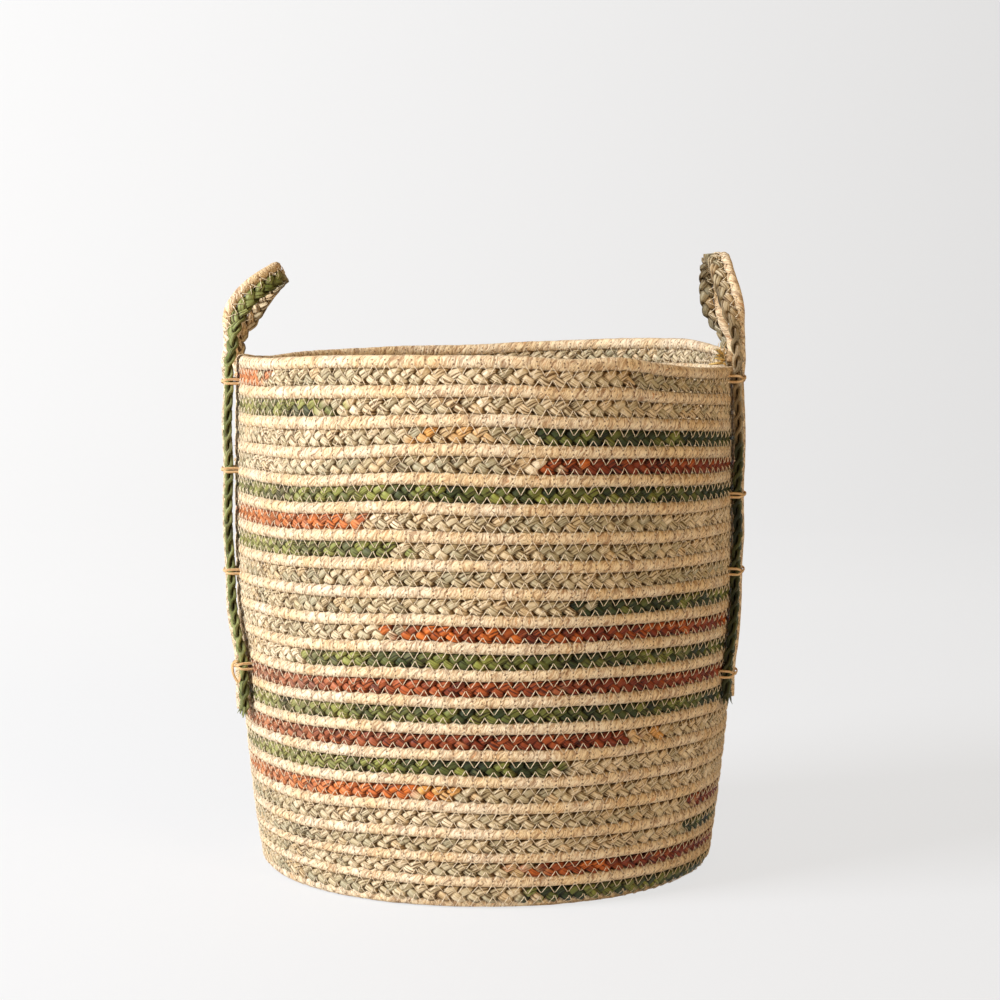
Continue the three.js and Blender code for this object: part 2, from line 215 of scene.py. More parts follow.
def roll_up(tube, points, start, length):
    """Moves an open tube's points to their places, closes it and both its ends, and smooths it."""
    tube.data.vertices.foreach_set("co", points.astype(np.float32).ravel())
    marks = tube.data.uv_layers.active.data
    uv = np.empty(len(marks) * 2)
    marks.foreach_get("uv", uv)
    uv = uv.reshape(-1, 2)
    uv[:, 0] = start + uv[:, 0] * length
    marks.foreach_set("uv", uv.ravel())
    bpy.ops.object.mode_set(mode="EDIT")
    bpy.ops.mesh.select_all(action="SELECT")
    bpy.ops.mesh.remove_doubles(threshold=2e-6)
    bpy.ops.mesh.fill_holes(sides=0)
    bpy.ops.mesh.normals_make_consistent(inside=False)
    bpy.ops.object.mode_set(mode="OBJECT")
    bpy.ops.object.shade_smooth()
    return tube


# Stores a piece's colours, with its painted shade or painted light already in them, for its finish to read.
def dye(tube, colours):
    layer = tube.data.attributes.new("dye", "FLOAT_COLOR", "POINT")
    full = np.ones((len(colours), 4))
    full[:, :3] = colours
    layer.data.foreach_set("color", full.astype(np.float32).ravel())


def join(name, pieces):
    bpy.ops.object.select_all(action="DESELECT")
    for piece in pieces:
        piece.select_set(True)
    bpy.context.view_layer.objects.active = pieces[0]
    bpy.ops.object.join()
    pieces[0].name = pieces[0].data.name = name
    return pieces[0]


def linear(red, green, blue):
    """A colour as the eye reads it, 0 to 255, as the light that it sends back."""
    value = np.array([red, green, blue]) / 255
    return np.where(value <= 0.04045, value / 12.92, ((value + 0.055) / 1.055) ** 2.4)


husk_cream = linear(248, 228, 192)
husk_olive = linear(200, 180, 134)
husk_grey = linear(186, 178, 148)
husk_tan = linear(222, 190, 140)
leaf_green = linear(148, 152, 68)
deep_green = linear(50, 62, 24)
lime_green = linear(190, 190, 108)
rust = linear(226, 120, 42)
deep_rust = linear(130, 50, 12)
amber = linear(236, 168, 78)
orange_brown = linear(188, 94, 42)
pale_pink = linear(228, 166, 130)

# The dyed runs, by the row of the front where each starts and ends: 3.25 is the third row down, at
# the middle of the front, 3.0 its left edge and 3.5 its right edge. The rest is undyed.
dyed_runs = [
    (0.86, 1.09, rust, orange_brown),
    (1.82, 2.15, leaf_green, deep_green),
    (3.21, 3.246, amber, husk_tan),
    (3.278, 3.74, leaf_green, deep_green),
    (4.285, 4.72, rust, deep_rust),
    (4.86, 5.64, leaf_green, deep_green),
    (5.80, 6.174, rust, orange_brown),
    (6.72, 7.20, leaf_green, deep_green),
    (9.308, 9.74, leaf_green, deep_green),
    (10.19, 10.66, rust, deep_rust),
    (11.123, 11.64, leaf_green, deep_green),
    (11.80, 12.68, orange_brown, deep_rust),
    (12.82, 13.66, leaf_green, deep_green),
    (13.80, 14.35, orange_brown, deep_rust),
    (14.35, 14.375, amber, husk_tan),
    (14.80, 15.298, leaf_green, deep_green),
    (15.78, 16.21, rust, orange_brown),
    (16.21, 16.235, amber, husk_tan),
    (17.414, 17.80, rust, deep_rust),
    (18.405, 18.86, leaf_green, deep_green),
    (19.262, 19.278, pale_pink, husk_tan),
    (19.284, 19.76, rust, deep_rust),
    (20.279, 20.72, leaf_green, deep_green),
    (21.30, 21.95, rust, deep_rust),
    (22.60, 23.40, leaf_green, deep_green),
    (24.20, 24.90, rust, orange_brown),
    (25.70, 26.60, leaf_green, lime_green),
]


lobe = 0.0112  # from one leaf of the plait to the next
plait_width = 0.0112  # of the basket's plait, whose leaves reach over its row's edges
strand_width_share = 0.60  # of the plait's width
strand_thickness_share = 0.40  # of the plait's thickness
swing_share = 0.40  # how far a strand swings to each side, of the plait's width
sharp_turn = 0.94  # near 1 a strand goes straight across and turns sharply at the edge


def leaf_tones(along, number, seed):
    """A chance tone from 0 to 1 for each leaf of a strand, where it comes up on one face."""
    leaf = along / (1.5 * lobe) + number / 1.5 - 0.25
    chance = np.random.default_rng(seed + number).uniform(0, 1, 4000)
    here = np.floor(leaf).astype(int)
    share = smooth(leaf - here, 0.8, 1.0)
    return chance[here % 4000] * (1 - share) + chance[(here + 1) % 4000] * share


def husk_colours(along, number):
    """Undyed husk's own colours along one strand: cream, olive, grey and tan, leaf by leaf."""
    tone = leaf_tones(along, number, 40)[:, None]
    patch = drift(along, 60, 0.25, 1.3)[:, None] + 0.4 * drift(along, 64 + number, 0.06, 0.3)[:, None]
    colours = husk_olive + (husk_cream - husk_olive) * np.clip(0.1 + 0.55 * patch + 0.75 * tone, 0, 1)
    colours = colours + (husk_grey - colours) * np.clip(0.75 - 1.5 * tone - 0.5 * patch, 0, 0.8)
    return colours + (husk_tan - colours) * smooth(tone, 0.8, 0.95) * 0.7


def coil_colours(along, number):
    turns = np.interp(along, laid, turns_back)
    row = turns + 0.5 + 0.008 * (number - 1) + 0.005 * drift(along, 80 + number, 0.05, 0.2)
    colours = husk_colours(along, number)
    # Painted shade and light: the dyed runs are paler and weaker near the front's left edge, where the light
    # is strong, and darker from there to the right edge and on round the back.
    toward_dim_side = np.clip(row % 1, 0, 0.5)
    tone = 1.1 * leaf_tones(along, number, 90) + 0.25 * drift(along, 94, 0.1, 0.5)
    tone = (tone + 2.2 * toward_dim_side - 0.5)[:, None]
    strength = 0.76 + 0.24 * smooth(toward_dim_side, 0.04, 0.22)
    for start, end, light, dark in dyed_runs:
        inside = smooth(row, start - 0.003, start + 0.005) * (1 - smooth(row, end - 0.005, end + 0.003))
        inside = inside * strength
        colours = colours + ((light + (dark - light) * np.clip(tone, 0, 1)) - colours) * inside[:, None]
    return colours


def plait_strand(name, number, start, end, width, thickness, place, colours, edge_painted_light=0):
    """One of a flat plait's three strands, over and under the others and folded at the edges.

    It is painted darker where it dips between the others, at its side edges and where it folds at the row's
    edges: painted shade, warmest in the deepest gaps. A strap's edge value lifts that painted shade along
    its outer edges.
    """
    length = end - start
    tube, along, around = straight_tube(name, length, round(length / 0.0020), 6)
    along = along + start
    phase = full_turn * (along / (3 * lobe) + number / 3) + 0.16 * drift(along, 30, 0.05, 0.4)
    over = np.tanh(-3.0 * np.sin(2 * phase))
    strand_width = strand_width_share * width * (1 + 0.12 * drift(along, 10 + number, 0.02, 0.06))
    strand_thickness = strand_thickness_share * thickness
    strand_thickness = strand_thickness * (1 + 0.10 * drift(along, 20 + number, 0.02, 0.05))
    strand_thickness *= 1 + 0.75 * (1 - np.abs(np.sin(2 * phase))) ** 1.5
    swing = swing_share * width / math.asin(sharp_turn)
    across = swing * np.arcsin(sharp_turn * np.sin(phase))
    slope = swing * sharp_turn * np.cos(phase) / np.sqrt(1 - (sharp_turn * np.sin(phase)) ** 2)
    slope = slope * full_turn / (3 * lobe)
    brink = np.abs(np.cos(around))
    wide = strand_width / 2 * np.sign(np.cos(around)) * brink**0.45 / np.hypot(1, slope)
    out = 0.27 * thickness * over + strand_thickness / 2 * np.sin(around)
    out = np.clip(out, -0.48 * thickness, 0.48 * thickness)
    edge = (across + wide) / (0.5 * width)
    folded = edge / (1 + np.abs(edge) ** 8) ** (1 / 8)
    depth = np.abs(out) / (thickness / 2)
    # Painted shade: the colour darkens where the strand dips under the others, at its side edges and where
    # it folds at the row's edges, and turns warmer in those darks.
    painted_shade = 0.25 + 0.75 * smooth(depth, 0.3, 0.7)
    painted_shade *= 1 - 0.55 * brink**8
    painted_shade *= 1 - 0.25 * smooth(np.abs(folded), 0.85, 1)
    painted_shade = np.maximum(painted_shade, edge_painted_light * smooth(np.abs(folded), 0.8, 0.95))
    dye(tube, colours(along, number) * painted_shade[:, None] ** np.array([0.8, 1, 1.35]))
    return roll_up(tube, place(along - slope * wide, 0.5 * width * folded, out), start, length)


class Shade:
    """A value or colour in a shader, which adds its own nodes when it is reckoned with."""

    def __init__(self, tree, socket):
        self.tree = tree
        self.socket = socket

    def node(self, kind, settings=None, sockets=None, output=0):
        made = self.tree.nodes.new(kind)
        for name, value in (settings or {}).items():
            if name == "stops":
                while len(made.color_ramp.elements) < len(value):
                    made.color_ramp.elements.new(0.5)
                for element, (position, colour) in zip(made.color_ramp.elements, value):
                    element.position = position
                    element.color = (*colour, 1)
            else:
                setattr(made, name, value)
        for name, value in (sockets or {}).items():
            if isinstance(value, Shade):
                self.tree.links.new(value.socket, made.inputs[name])
            else:
                made.inputs[name].default_value = value
        return Shade(self.tree, made.outputs[output])

    def maths(self, operation, *values):
        sockets = dict(enumerate((self, *values)))
        return self.node("ShaderNodeMath", {"operation": operation}, sockets)

    def __add__(self, other):
        return self.maths("ADD", other)

    __radd__ = __add__

    def __sub__(self, other):
        return self.maths("SUBTRACT", other)

    def __rsub__(self, other):
        return (self * -1) + other

    def __mul__(self, other):
        return self.maths("MULTIPLY", other)

    __rmul__ = __mul__

    def __truediv__(self, other):
        return self.maths("DIVIDE", other)

    def clipped(self, low, high):
        """0 at low, 1 at high, even in between and kept within 0 and 1."""
        sockets = {"Value": self, "From Min": low, "From Max": high}
        return self.node("ShaderNodeMapRange", {}, sockets)

    def mixed(self, other, share, blend="MIX"):
        settings = {"data_type": "RGBA", "blend_type": blend}
        return self.node("ShaderNodeMix", settings, {0: share, 6: self, 7: other}, 2)


def colour(value):
    return (*[float(v) for v in value], 1)


def new_finish(name):
    """An empty material. Returns it, its shader and a Shade to start from."""
    finish = bpy.data.materials.new(name)
    finish.use_nodes = True
    shader = finish.node_tree.nodes["Principled BSDF"]
    shader.inputs["Specular IOR Level"].default_value = 0.35
    return finish, shader, Shade(finish.node_tree, None)


def along_and_around(start):
    uv = start.node("ShaderNodeUVMap", {"uv_map": "UVMap"})
    split = uv.node("ShaderNodeSeparateXYZ", {}, {0: uv})
    return split, Shade(split.tree, split.socket.node.outputs[1])


def finished(finish, shader, base, roughness, height, depth):
    bump = base.node("ShaderNodeBump", {}, {"Strength": 1.0, "Distance": depth, "Height": height})
    for name, value in (("Base Color", base), ("Roughness", roughness), ("Normal", bump)):
        finish.node_tree.links.new(value.socket, shader.inputs[name])
    return finish


def plaited_husk():
    """Husk leaves in their dye colours with painted shade already in them: fine ribs along each strand,
    paler where worn, and small brown spots.
    """
    finish, shader, start = new_finish("plaited_husk")
    along, around = along_and_around(start)
    # The attribute holds the strands' dye colours with painted shade already in them.
    husk_colour_and_painted_light = start.node("ShaderNodeAttribute", {"attribute_name": "dye"})
    place = start.node("ShaderNodeTexCoord", {}, {}, "Object")
    rib_place = start.node("ShaderNodeCombineXYZ", {}, {0: along * 50, 1: around * 20})
    ribs = start.node("ShaderNodeTexNoise", {}, {"Vector": rib_place, "Scale": 1.0, "Detail": 3.0})
    cloud = start.node("ShaderNodeTexNoise", {}, {"Vector": place, "Scale": 70.0, "Detail": 3.0})
    spot = start.node("ShaderNodeTexNoise", {}, {"Vector": place, "Scale": 420.0, "Detail": 2.0})
    tone = ribs.node(
        "ShaderNodeValToRGB",
        {"stops": [(0.38, (0.20, 0.14, 0.08)), (0.46, (0.74, 0.69, 0.60)), (0.56, (1.0, 1.0, 1.0))]},
        {0: ribs},
    )
    base = husk_colour_and_painted_light.mixed(tone, 1.0, "MULTIPLY")
    worn = cloud.clipped(0.6, 0.8) * ribs.clipped(0.45, 0.6) * 0.3
    base = base.mixed(colour(linear(244, 222, 170)), worn)
    base = base.mixed(colour(linear(60, 36, 18)), spot.clipped(0.66, 0.74) * 0.5)
    return finished(finish, shader, base, 0.62 - ribs.clipped(0.4, 0.6) * 0.14, ribs, 0.0011)


plaited = plaited_husk()


def coil_strands(name, start, end):
    size = (plait_width, braid_thickness)
    place = on_row(braid_row, braid_height)
    return [plait_strand(f"{name}_{k + 1}", k, start, end, *size, place, coil_colours) for k in range(3)]


braid_start = laid_at((rim_line - centre_hole - start_height + braid_height) / pitch)
wall_foot = laid_at(wall_foot_turns)
base_braid = join("base_plait", coil_strands("base_strand", braid_start, wall_foot))
base_braid.data.materials.append(plaited)
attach(base_braid, "root")
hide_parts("base_braid")


# The cord of the base, laid beside the plait: cream husk strips wrapped at a slant round a core. Small dark
# spots of painted shade stand for the holes where the needle went in.
cord_width = 0.0092  # a little over its row's height, so that the rows touch
wrap_length = 0.0115  # from one turn of a husk strip to the next
stitch = 0.0098  # along the seam from one needle hole to the next on the same side
thread_start = laid_at((rim_line - 0.006) / pitch)
last_over_seam = laid_at(1.0)
thread_end = coil_length - 0.004


def husk_cord(name, needle_rows):
    """Undyed husk wrapped on a slant, with fibres, specks, flecks, painted shade in its creases and painted
    shade spots for needle holes along its seams.
    """
    finish, shader, start = new_finish(name)
    along, around = along_and_around(start)
    place = start.node("ShaderNodeTexCoord", {}, {}, "Object")
    wobble = start.node("ShaderNodeTexNoise", {}, {"Vector": place, "Scale": 110.0, "Detail": 3.0})
    wrap = along / wrap_length - around + wobble * 0.8

    def streaks(across_strips, round_cord, along_cord, scale, detail):
        at = {0: wrap * across_strips, 1: around * round_cord, 2: along * along_cord}
        spot_place = start.node("ShaderNodeCombineXYZ", {}, at)
        noise = {"Vector": spot_place, "Scale": scale, "Detail": detail}
        return start.node("ShaderNodeTexNoise", {}, noise)

    fibres = streaks(12, 4, 25, 1.0, 4.0)
    creases = streaks(5, 3, 14, 1.0, 2.0)
    flecks = streaks(3, 2, 9, 1.3, 1.0)
    spot = start.node("ShaderNodeTexNoise", {}, {"Vector": place, "Scale": 600.0, "Detail": 3.0})
    cloud = start.node("ShaderNodeTexNoise", {}, {"Vector": place, "Scale": 30.0, "Detail": 3.0})
    base = cloud.node(
        "ShaderNodeValToRGB",
        {"stops": [(0.35, linear(252, 233, 198)), (0.65, linear(247, 218, 168))]},
        {0: cloud},
    )
    painted_crease_shade = creases.clipped(0.46, 0.36)
    fibre = fibres.clipped(0.4, 0.52)
    base = base.mixed(colour(linear(176, 122, 70)), (1 - fibre) * 0.6)
    # Painted shade: the wrap's creases are darkened, as well as bumped.
    base = base.mixed(colour(linear(126, 76, 36)), painted_crease_shade * 0.55)
    base = base.mixed(colour(linear(206, 134, 70)), flecks.clipped(0.7, 0.78) * 0.6)
    base = base.mixed(colour(linear(84, 50, 24)), spot.clipped(0.64, 0.71) * 0.75)
    mirrored = (around - 0.5).maths("ABSOLUTE")
    # Each needle hole is a dark spot of painted shade on the cord.
    for first, last, at in needle_rows:
        apart = (last - first) / round((last - first) / stitch)
        step = (along - first) / apart
        off = (step - step.maths("FLOOR") - 0.5) * apart
        round_off = (mirrored - at) * math.pi * cord_height
        hole = (off * off + round_off * round_off).maths("SQRT").clipped(0.0009, 0.0004)
        base = base.mixed(colour(linear(92, 52, 22)), hole * 0.8)
    height = fibres * 0.9 + creases * 1.2
    return finished(finish, shader, base, 0.84 - fibre * 0.12, height, 0.0012)


wrapped = husk_cord(
    "wrapped_husk_cord", [(thread_start, thread_end, 0.197), (thread_start, last_over_seam, 0.303)]
)


def wrapped_cord(name, start, end, width, thickness, place):
    length = end - start
    tube, along, around = straight_tube(name, length, round(length / 0.0030), 10)
    along = along + start
    wraps = np.sin(3 * around + along * full_turn / 0.014)
    plump = 1 + 0.03 * drift(along, 5, 0.015, 0.06) + 0.018 * wraps
    across = width / 2 * plump * np.cos(around)
    out = thickness / 2 * plump * np.sin(around)
    return roll_up(tube, place(along, across, out), start, length)


along_cord_row = on_row(cord_row, cord_height)
base_cord = wrapped_cord("base_cord_coil", 0, wall_foot, cord_width, cord_thickness, along_cord_row)
base_cord.data.materials.append(wrapped)
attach(base_cord, "root")
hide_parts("base_cord")

# The plug. The cord's own start is turned in and tucked into the small hole in the middle of the base.
plug_radius = 0.0042
plug_half_height = 0.0036
bpy.ops.object.select_all(action="DESELECT")
bpy.ops.mesh.primitive_uv_sphere_add(segments=16, ring_count=10, radius=1)
plug = bpy.context.object
plug.name = plug.data.name = "base_plug"
for vertex in plug.data.vertices:
    x, y, z = vertex.co
    vertex.co = (x * plug_radius, y * plug_radius, half_wall + z * plug_half_height)
for mark in plug.data.uv_layers.active.data:
    mark.uv.x *= 0.02
bpy.ops.object.shade_smooth()
plug.data.materials.append(wrapped)
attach(plug, "root")

# The wall. The same plait and cord go on up the wall without a break and end at the rim, at the right
# handle, where both thin out. Each strand of the plait is one long piece.
wall_strands = coil_strands("wall_plait_strand", wall_foot, coil_length)
for strand in wall_strands:
    strand.data.materials.append(plaited)
    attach(strand, "root")
    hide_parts("lower_wall_braid", "upper_wall_braid")

wall_cord = wrapped_cord(
    "wall_cord_coil", wall_foot, coil_length, cord_width, cord_thickness, along_cord_row
)
wall_cord.data.materials.append(wrapped)
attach(wall_cord, "root")
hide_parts("lower_wall_cord", "upper_wall_cord")


# The sewing. Cream cotton thread runs zigzag over every seam between plait and cord, once up the
# outside and once up the inside, and dips into a needle hole at each turn.
thread_width = 0.00056
cord_reach = 0.0029  # from the seam to the needle holes in the cord
plait_reach = 0.0045  # from the seam to the needle holes in the plait
plait_face = 0.0036  # how far from the wall's middle the thread lies on the plait
cord_face = 0.0042
needle_depth = 0.0011  # how far the thread dips into a needle hole
seam_end_share = 0.4  # of a stitch's width left at the rim's end

# A stitch goes up over the seam and down again. Each of the thread's corners in it: how far along the
# stitch, how far across from the plait's side (-1) to the cord's (1), and 1 where it is in a hole.
stitch_corners = np.array(
    [
        (0, -1, 1),
        (0.07, -0.72, 0),
        (0.43, 0.72, 0),
        (0.5, 1, 1),
        (0.57, 0.72, 0),
        (0.93, -0.72, 0),
    ]
)


def under_cord_seam(turns):
    middle = braid_row(turns)[1] + row_gap / 2
    half = cord_height / 2 * rim_share(turns, seam_end_share)
    return middle - half, middle + half


def over_cord_seam(turns):
    middle = cord_row(turns)[1] + row_gap / 2
    return middle - cord_height / 2, middle + cord_height / 2


def cotton():
    finish, shader, start = new_finish("cotton_thread")
    along, around = along_and_around(start)
    ply = (along * (full_turn / 0.0009) + around * full_turn).maths("SINE")
    base = ply.node(
        "ShaderNodeValToRGB",
        {"stops": [(0.0, linear(222, 198, 158)), (1.0, linear(252, 236, 206))]},
        {0: ply * 0.5 + 0.5},
    )
    return finished(finish, shader, base, 0.8 + ply * 0.05, ply, 0.0001)


cotton_thread = cotton()


def zigzag(name, start, end, place, cord_side, face, plait_out, cord_out, sides):
    """Thread over a seam. cord_side is 1 where the cord lies above it, face 1 outside and -1 inside."""
    stitches = round((end - start) / stitch)
    corners = len(stitch_corners)
    tube, along, around = straight_tube(name, 1, stitches * corners, sides)
    number, corner = np.divmod(np.rint(along * stitches * corners).astype(int), corners)
    far, swing, hole = stitch_corners[corner].T
    along = start + (number + far) * (end - start) / stitches
    reach = np.where(swing > 0, cord_reach, plait_reach) * (1 + 0.12 * drift(along, 7, 0.01, 0.03))
    across = swing * reach * cord_side
    out = (plait_out + (cord_out - plait_out) * (swing + 1) / 2) - hole * needle_depth
    along = along + thread_width / 2 * np.cos(around) * 1.15
    out = face * (out + thread_width / 2 * np.sin(around))
    return roll_up(tube, place(along, across, out), start, end - start)


under_seam = on_row(under_cord_seam, cord_height)
over_seam = on_row(over_cord_seam, cord_height)
for prefix, face, sides in (("", 1, 4), ("inner_", -1, 3)):
    for name, last, place, cord_side in (
        ("thread_under_cord", thread_end, under_seam, 1),
        ("thread_over_cord", last_over_seam, over_seam, -1),
    ):
        thread = zigzag(
            prefix + name, thread_start, last, place, cord_side, face, plait_face, cord_face, sides
        )
        thread.data.materials.append(cotton_thread)
        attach(thread, "root")

# The two handles. Each is one strap, a narrower plait and cord sewn side by side, that runs up the
# outside of the wall, over in a loop and down again. The loop's strap turns from flat on the wall to
# flat across the hand. It bends just above the rim, where it leaves the wall.
strap_braid_width = 0.010
strap_braid_thickness = 0.0064
strap_cord_width = 0.0078
strap_cord_thickness = 0.0072
strap_width = strap_braid_width + row_gap + strap_cord_width
braid_offset = (strap_braid_width - strap_width) / 2  # of the plait from the strap's middle
cord_offset = (strap_width - strap_cord_width) / 2
strap_half = strap_cord_thickness / 2
strap_seat = 0.0004  # between the wall and a strap
leg_slack = 0.0010  # how far a leg stands off the wall between two ties
strap_plait_face = 0.0033  # how far from the strap's middle its thread lies on the plait
strap_cord_face = 0.0035
arch_power = 0.85  # below 1 the loop is fuller than a half sine wave
twist_share = 0.16  # of the loop, over which its strap turns from edge to face
tilt_power = 1.5  # how late the loop's strap tips towards its tilt at the top

# Angles and swings of legs are in degrees: a leg's angle is from its handle's middle, and its swing is
# what it adds below its last tie but one. Lean is how far the loop leans in, on that leg's side, late
# and early how it sets in. Slack is how far each side stands off the wall.
# The edge and husk values are painted light: the first lifts a strap's painted plait shade along its visible
# edges, far more on the lit left than on the dim right, and the second paints the right strap's undyed husk
# darker, as painted shade of the dim right side.
handles = {
    "left": {
        "angle": math.pi,
        "legs": {
            "rear": {"angle": 12, "swing": 3, "length": 0.273, "lean": 0.0315, "late": 1.2, "early": 1},
            "front": {"angle": 11.8, "swing": 8.5, "length": 0.276, "lean": 0.0315, "late": 3.3, "early": 1},
        },
        "slack": {"rear": 0.0065, "front": 0.0028},
        "hinge_turn": math.radians(27),
        "rise": 0.0525,
        "top_tilt": math.radians(59),
        "edge_painted_light": 0.95,
        "husk_painted_light": 1,
    },
    "right": {
        "angle": 0.0,
        "legs": {
            "rear": {"angle": 12, "swing": 2, "length": 0.272, "lean": 0.0165, "late": 1, "early": 3.2},
            "front": {"angle": 14, "swing": 3.5, "length": 0.268, "lean": 0.009, "late": 1.2, "early": 1},
        },
        "slack": {"rear": 0.0004, "front": 0.0004},
        "hinge_turn": math.radians(26),
        "rise": 0.0625,
        "top_tilt": math.radians(3),
        "edge_painted_light": 0.5,
        "husk_painted_light": 0.8,
    },
}
hinge_of = {joint["child"]: joint["pos_m"] for joint in frame["joints"]}


def tie_heights(side, name):
    boxes = [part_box(f"{side}_{name}_tie_{k + 1}") for k in range(4)]
    return np.array([(low[2] + high[2]) / 2 for low, high in boxes])


def leg_sign(handle, name):
    return (1 if name == "rear" else -1) * math.cos(handle["angle"])


def leg_angle(side, name, height):
    """The way round to a leg at a height: below its last tie but one it swings outwards."""
    leg, ties = handles[side]["legs"][name], tie_heights(side, name)
    swung = 1 - smooth(height, ties[3] + 0.0026, ties[2] - 0.0026)
    return leg_sign(handles[side], name) * np.radians(leg["angle"] + leg["swing"] * swung)


def leg_frames(side, name):
    """A leg's middle, its way from plait to cord and its way out, from its cut end up to the loop."""
    handle, ties = handles[side], tie_heights(side, name)
    leg, sign = handle["legs"][name], leg_sign(handle, name)
    hinge_x, _, hinge_z = np.abs(hinge_of[f"{side}_loop"])
    heights = np.linspace(basket_height - leg["length"], hinge_z - 0.002, 80)
    angle = leg_angle(side, name, heights)
    upright = smooth(heights, hinge_z - 0.020, hinge_z - 0.002)
    turning = smooth(heights, hinge_z - 0.034, hinge_z)
    turn = angle + (sign * handle["hinge_turn"] - angle) * turning
    from_tie = np.min(np.abs(heights[:, None] - ties[None, :]), axis=1)
    loosened = handle["slack"][name]
    radius = outside_radius(heights) + strap_half + strap_seat
    radius += strap_width / 2 * np.abs(np.sin(turn - angle)) * (1 - upright)
    radius += leg_slack * smooth(from_tie, 0.004, 0.03)
    radius += loosened * (1 if name == "front" else smooth(heights, hinge_z - 0.035, hinge_z))
    x = radius * np.cos(angle) * (1 - upright) + (hinge_x + loosened) * upright
    middle = np.stack([x, radius * np.sin(angle), heights], axis=-1)
    across = sign * np.stack([np.sin(turn), -np.cos(turn), 0 * turn], axis=-1)
    out = np.stack([np.cos(turn), np.sin(turn), 0 * turn], axis=-1)
    return middle, across, out


def loop_frames(side, first, last, first_y, last_y):
    """The same for the loop from one leg to the other, which rises, leans in and turns its face."""
    handle = handles[side]
    hinge_x, _, hinge_z = np.abs(hinge_of[f"{side}_loop"])
    u = (1 - np.cos(np.linspace(0, math.pi, 161)[1:-1])) / 2
    arch = np.sin(math.pi * u) ** arch_power
    one, other = [handle["legs"][name] for name in (first, last)]
    lean, late, early = [one[how] + (other[how] - one[how]) * u for how in ("lean", "late", "early")]
    lean = lean * (1 - (1 - arch**late) ** early)
    loosened = np.where(u < 0.5, handle["slack"][first], handle["slack"][last])
    x = hinge_x + loosened * (1 - arch) - lean
    y = first_y + (last_y - first_y) * (1 - np.cos(math.pi * u)) / 2
    middle = np.stack([x, y, hinge_z + handle["rise"] * arch], axis=-1)
    ahead = np.gradient(middle, axis=0)
    ahead /= np.linalg.norm(ahead, axis=1, keepdims=True)
    twisted = smooth(np.minimum(u, 1 - u) / twist_share, 0, 1)
    turn = handle["hinge_turn"] + (math.pi / 2 - handle["hinge_turn"]) * twisted
    tilt = handle["top_tilt"] * arch**tilt_power
    towards_y = np.where(u < 0.5, 1, -1) * np.cos(turn)
    across = np.stack([np.cos(tilt) * np.sin(turn), towards_y, np.sin(tilt) * np.sin(turn)], axis=-1)
    across -= np.sum(across * ahead, axis=1, keepdims=True) * ahead
    across /= np.linalg.norm(across, axis=1, keepdims=True)
    return middle, across, np.cross(across, ahead)


def strap_frames(side):
    """The strap's middle, its way from plait to cord and its way out, all along it, from end to end."""
    handle = handles[side]
    first, last = sorted(handle["legs"], key=lambda name: leg_sign(handle, name))
    up, down = leg_frames(side, first), leg_frames(side, last)
    over = loop_frames(side, first, last, up[0][-1, 1], down[0][-1, 1])
    parts = [np.concatenate([a, b, c[::-1]]) for a, b, c in zip(up, over, down)]
    cos, sin = math.cos(handle["angle"]), math.sin(handle["angle"])
    spin = np.array([[cos, -sin, 0], [sin, cos, 0], [0, 0, 1]])
    middle, across, out = [part @ spin.T for part in parts]
    far = np.concatenate([[0], np.cumsum(np.linalg.norm(np.diff(middle, axis=0), axis=1))])
    return far, middle, across, out


def on_strap(frames, offset):
    """How a straight length is laid along a strap, offset across it from the strap's middle."""
    far, middle, across_way, out_way = frames

    def place(along, across, out):
        def at(values):
            return np.stack([np.interp(along, far, values[:, k]) for k in range(3)], axis=-1)

        return at(middle) + at(across_way) * (across + offset)[:, None] + at(out_way) * out[:, None]

    return place


def strap_colours(side, length):
    """The left strap's plait is green in its front half, and the right one's up its front leg."""

    def colours(along, number):
        # Painted shade: the right strap's undyed husk is painted at 0.8 of its brightness.
        plain = husk_colours(along + 3.7, number + 3) * handles[side]["husk_painted_light"]
        tone = np.clip(0.5 + 0.5 * drift(along, 70 + number, 0.02, 0.08), 0, 1)[:, None]
        grey_green, moss = linear(172, 178, 110), linear(112, 122, 58)
        if side == "left":
            inside = smooth(along, 0.5 * length - 0.01, 0.5 * length + 0.01)
            green = grey_green + (moss - grey_green) * tone
        else:
            inside = 1 - smooth(along, 0.190, 0.205)
            green = moss * 0.8 + (deep_green - moss * 0.8) * tone
        return plain + (green - plain) * inside[:, None]

    return colours


